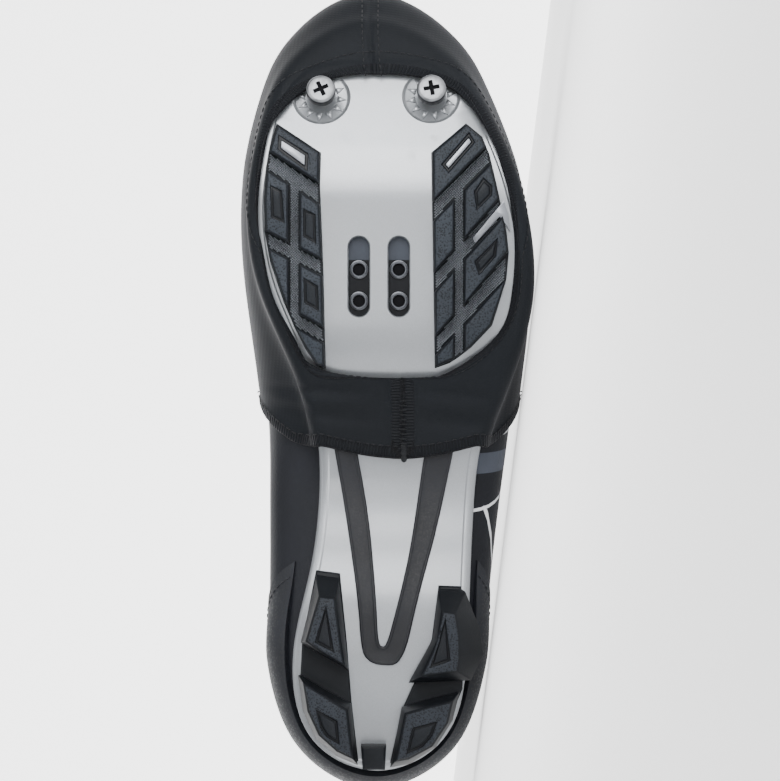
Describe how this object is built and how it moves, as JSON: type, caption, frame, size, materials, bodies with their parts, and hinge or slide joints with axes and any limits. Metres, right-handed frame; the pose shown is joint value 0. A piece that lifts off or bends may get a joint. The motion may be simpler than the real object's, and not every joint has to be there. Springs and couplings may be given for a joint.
{
  "type": "cycling overshoe",
  "caption": "Toe overshoe worn on the off-road cycling shoe that it covers: stretch cover over the forefoot, open under the sole, on a studded shoe with a slotted cleat seat.",
  "frame": {"origin": "centre of the bounding box on the floor that the shoe lies on", "axes": "+X from heel to toe, -Y out of the sole towards the camera, +Z from the lateral side that lies on the floor to the medial side"},
  "size_m": [0.2844, 0.0982, 0.1084],
  "materials": {
    "neoprene": "matt stretch knit over foam",
    "upper_fabric": "matt coated fabric",
    "counter_plastic": "satin",
    "silver_plate": "satin silver",
    "tread_rubber": "fine grain",
    "heel_rubber": "fine grain",
    "inlay_plastic": "satin",
    "stud_steel": "satin",
    "nut_steel": "dull zinc",
    "insole_foam": "matt"
  },
  "bodies": {
    "root": {"overshoe": "neoprene", "upper": "upper_fabric", "heel_counter": "counter_plastic", "insole": "insole_foam", "sole_plate": "silver_plate", "cleat_nut_plate": "nut_steel", "wishbone_inlay": "inlay_plastic", "tread_medial": "tread_rubber", "tread_lateral": "tread_rubber", "heel_tread_medial": "heel_rubber", "heel_tread_lateral": "heel_rubber", "heel_bumper": "heel_rubber", "toe_stud_medial": "stud_steel", "toe_stud_lateral": "stud_steel"}
  },
  "joints": []
}
